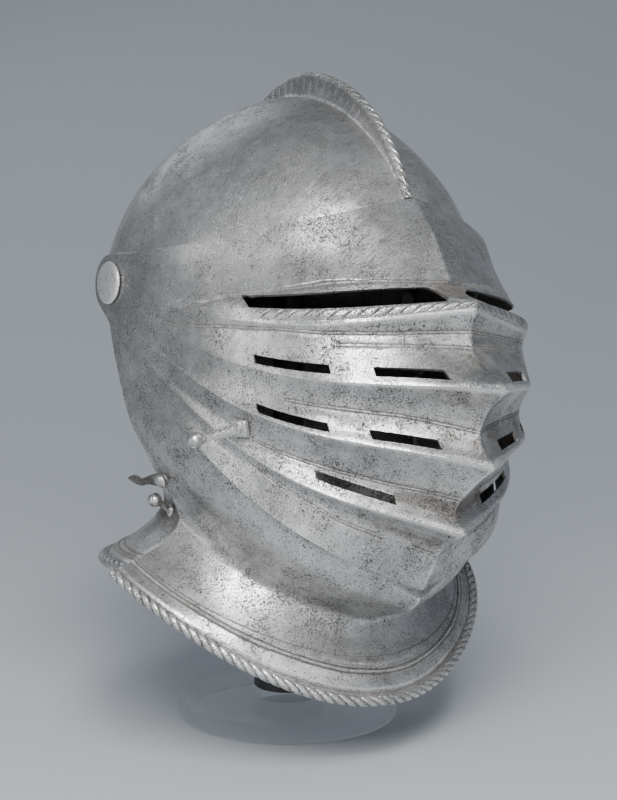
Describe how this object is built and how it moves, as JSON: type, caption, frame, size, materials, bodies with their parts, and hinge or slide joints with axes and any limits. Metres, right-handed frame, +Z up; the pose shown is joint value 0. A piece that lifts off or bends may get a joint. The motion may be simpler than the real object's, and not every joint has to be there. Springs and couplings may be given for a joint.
{
  "type": "close helmet on display stand",
  "caption": "Steel close helmet with combed skull, bellows visor with sights and breaths, bevor with flared roped neck rim, lifting peg and neck hook, held on a clear display stand.",
  "frame": {"origin": "centre of the flat underside of the stand's disc, on the floor", "axes": "+Z up, the helmet faces -Y, the helmet's own left is +X; the helmet leans 5.5 degrees towards its left on the stand"},
  "size_m": [0.2522, 0.306, 0.3762],
  "materials": {
    "plate_steel": "old polished plate steel, densely pitted, with dark patina in the recesses",
    "fitting_steel": "worn bright steel of pivots, peg and hook",
    "clear_acrylic": "clear polished acrylic",
    "black_plastic": "satin black plastic"
  },
  "bodies": {
    "skull_and_stand": {"skull": "plate_steel", "pivot_right": "fitting_steel", "pivot_left": "fitting_steel", "hook_stud": "fitting_steel", "stand_base": "clear_acrylic", "stand_column": "clear_acrylic", "stand_post": "black_plastic"},
    "bevor_body": {"bevor": "plate_steel", "hook_rivet": "fitting_steel"},
    "visor_body": {"visor": "plate_steel", "lifting_peg": "fitting_steel"},
    "hook_body": {"neck_hook": "fitting_steel"}
  },
  "joints": [
    {"name": "bevor_hinge", "type": "hinge", "parent": "skull_and_stand", "child": "bevor_body", "pos_m": [0.0045, 0.021, 0.2483], "axis": [-0.9954, 0, 0.0958], "range_deg": [0, 35]},
    {"name": "visor_hinge", "type": "hinge", "parent": "bevor_body", "child": "visor_body", "pos_m": [0.0045, 0.021, 0.2483], "axis": [-0.9954, 0, 0.0958], "range_deg": [0, 55]},
    {"name": "hook_turn", "type": "hinge", "parent": "bevor_body", "child": "hook_body", "pos_m": [-0.09535, -0.01837, 0.15353], "axis": [0.906, 0.2246, 0.3588], "range_deg": [0, 60]}
  ]
}
